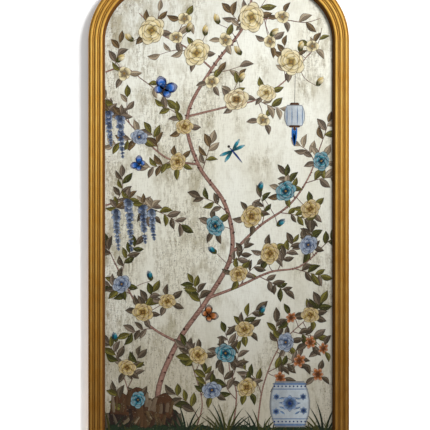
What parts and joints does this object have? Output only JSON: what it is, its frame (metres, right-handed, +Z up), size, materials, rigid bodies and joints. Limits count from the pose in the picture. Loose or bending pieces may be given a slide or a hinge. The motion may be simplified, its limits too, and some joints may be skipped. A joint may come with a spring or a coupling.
{
  "type": "arched wall mirror",
  "caption": "Tall arched wall mirror: antiqued decorated glass in a reeded gilded timber frame, with a board, turn buttons and D-ring strap hangers at the back.",
  "frame": {"origin": "on the wall plane, midway between the eyes of the two strap hangers", "axes": "+Z up, the mirror faces -Y, and the wall is at Y 0 behind the bumpers; +X is to the right for someone looking into the mirror"},
  "size_m": [0.76, 0.042, 1.5],
  "materials": {
    "gilded_timber": "toned gold leaf over timber, dark in the recesses; bare timber on the back",
    "antique_mirror": "antiqued silvering with foxing, painted decoration on the front",
    "backing_board": "plain fibreboard",
    "corrugated_sheet": "plain corrugated board",
    "rebate_tape": "dark felt tape",
    "setting_rubber": "firm rubber",
    "cork": "cork",
    "spline_timber": "hardwood",
    "nail_steel": "bare spring steel",
    "button_steel": "zinc plated",
    "screw_steel": "zinc plated",
    "hanger_steel": "zinc plated",
    "bumper_rubber": "soft rubber"
  },
  "bodies": {
    "mirror": {"left_stile": "gilded_timber", "right_stile": "gilded_timber", "bottom_rail": "gilded_timber", "shoulder_left": "gilded_timber", "shoulder_right": "gilded_timber", "crown_left": "gilded_timber", "crown_right": "gilded_timber", "mirror_glass": "antique_mirror", "backing_board": "backing_board", "spacer_sheet": "corrugated_sheet", "rebate_tape": "rebate_tape", "setting_blocks": "setting_rubber", "edge_spacers": "cork", "joint_splines": "spline_timber", "mitre_nails": "nail_steel", "turn_button_screws": "screw_steel", "hanger_screws": "screw_steel", "hanger_strap_left": "hanger_steel", "hanger_strap_right": "hanger_steel", "wall_bumpers": "bumper_rubber"},
    "turn_button_left_lower": {"turn_button_left_lower": "button_steel"},
    "turn_button_left_middle": {"turn_button_left_middle": "button_steel"},
    "turn_button_left_upper": {"turn_button_left_upper": "button_steel"},
    "turn_button_bottom_left": {"turn_button_bottom_left": "button_steel"},
    "turn_button_crown_left": {"turn_button_crown_left": "button_steel"},
    "turn_button_right_lower": {"turn_button_right_lower": "button_steel"},
    "turn_button_right_middle": {"turn_button_right_middle": "button_steel"},
    "turn_button_right_upper": {"turn_button_right_upper": "button_steel"},
    "turn_button_bottom_right": {"turn_button_bottom_right": "button_steel"},
    "turn_button_crown_right": {"turn_button_crown_right": "button_steel"},
    "hanger_ring_left": {"hanger_ring_left": "hanger_steel"},
    "hanger_ring_right": {"hanger_ring_right": "hanger_steel"}
  },
  "joints": [
    {"name": "turn_button_left_lower_swivel", "type": "hinge", "parent": "mirror", "child": "turn_button_left_lower", "pos_m": [-0.352, -0.00715, -0.87021], "axis": [0, 1, 0], "continuous": true},
    {"name": "turn_button_left_middle_swivel", "type": "hinge", "parent": "mirror", "child": "turn_button_left_middle", "pos_m": [-0.352, -0.00715, -0.4076], "axis": [0, 1, 0], "continuous": true},
    {"name": "turn_button_left_upper_swivel", "type": "hinge", "parent": "mirror", "child": "turn_button_left_upper", "pos_m": [-0.352, -0.00715, 0.055], "axis": [0, 1, 0], "continuous": true},
    {"name": "turn_button_bottom_left_swivel", "type": "hinge", "parent": "mirror", "child": "turn_button_bottom_left", "pos_m": [-0.15, -0.00715, -1.10221], "axis": [0, 1, 0], "continuous": true},
    {"name": "turn_button_crown_left_swivel", "type": "hinge", "parent": "mirror", "child": "turn_button_crown_left", "pos_m": [-0.17817, -0.00715, 0.30392], "axis": [0, 1, 0], "continuous": true},
    {"name": "turn_button_right_lower_swivel", "type": "hinge", "parent": "mirror", "child": "turn_button_right_lower", "pos_m": [0.352, -0.00715, -0.87021], "axis": [0, 1, 0], "continuous": true},
    {"name": "turn_button_right_middle_swivel", "type": "hinge", "parent": "mirror", "child": "turn_button_right_middle", "pos_m": [0.352, -0.00715, -0.4076], "axis": [0, 1, 0], "continuous": true},
    {"name": "turn_button_right_upper_swivel", "type": "hinge", "parent": "mirror", "child": "turn_button_right_upper", "pos_m": [0.352, -0.00715, 0.055], "axis": [0, 1, 0], "continuous": true},
    {"name": "turn_button_bottom_right_swivel", "type": "hinge", "parent": "mirror", "child": "turn_button_bottom_right", "pos_m": [0.15, -0.00715, -1.10221], "axis": [0, 1, 0], "continuous": true},
    {"name": "turn_button_crown_right_swivel", "type": "hinge", "parent": "mirror", "child": "turn_button_crown_right", "pos_m": [0.17817, -0.00715, 0.30392], "axis": [0, 1, 0], "continuous": true},
    {"name": "hanger_ring_left_swing", "type": "hinge", "parent": "mirror", "child": "hanger_ring_left", "pos_m": [-0.3595, -0.00435, 0], "axis": [-1, 0, 0], "range_deg": [0, 175]},
    {"name": "hanger_ring_right_swing", "type": "hinge", "parent": "mirror", "child": "hanger_ring_right", "pos_m": [0.3595, -0.00435, 0], "axis": [-1, 0, 0], "range_deg": [0, 175]}
  ]
}
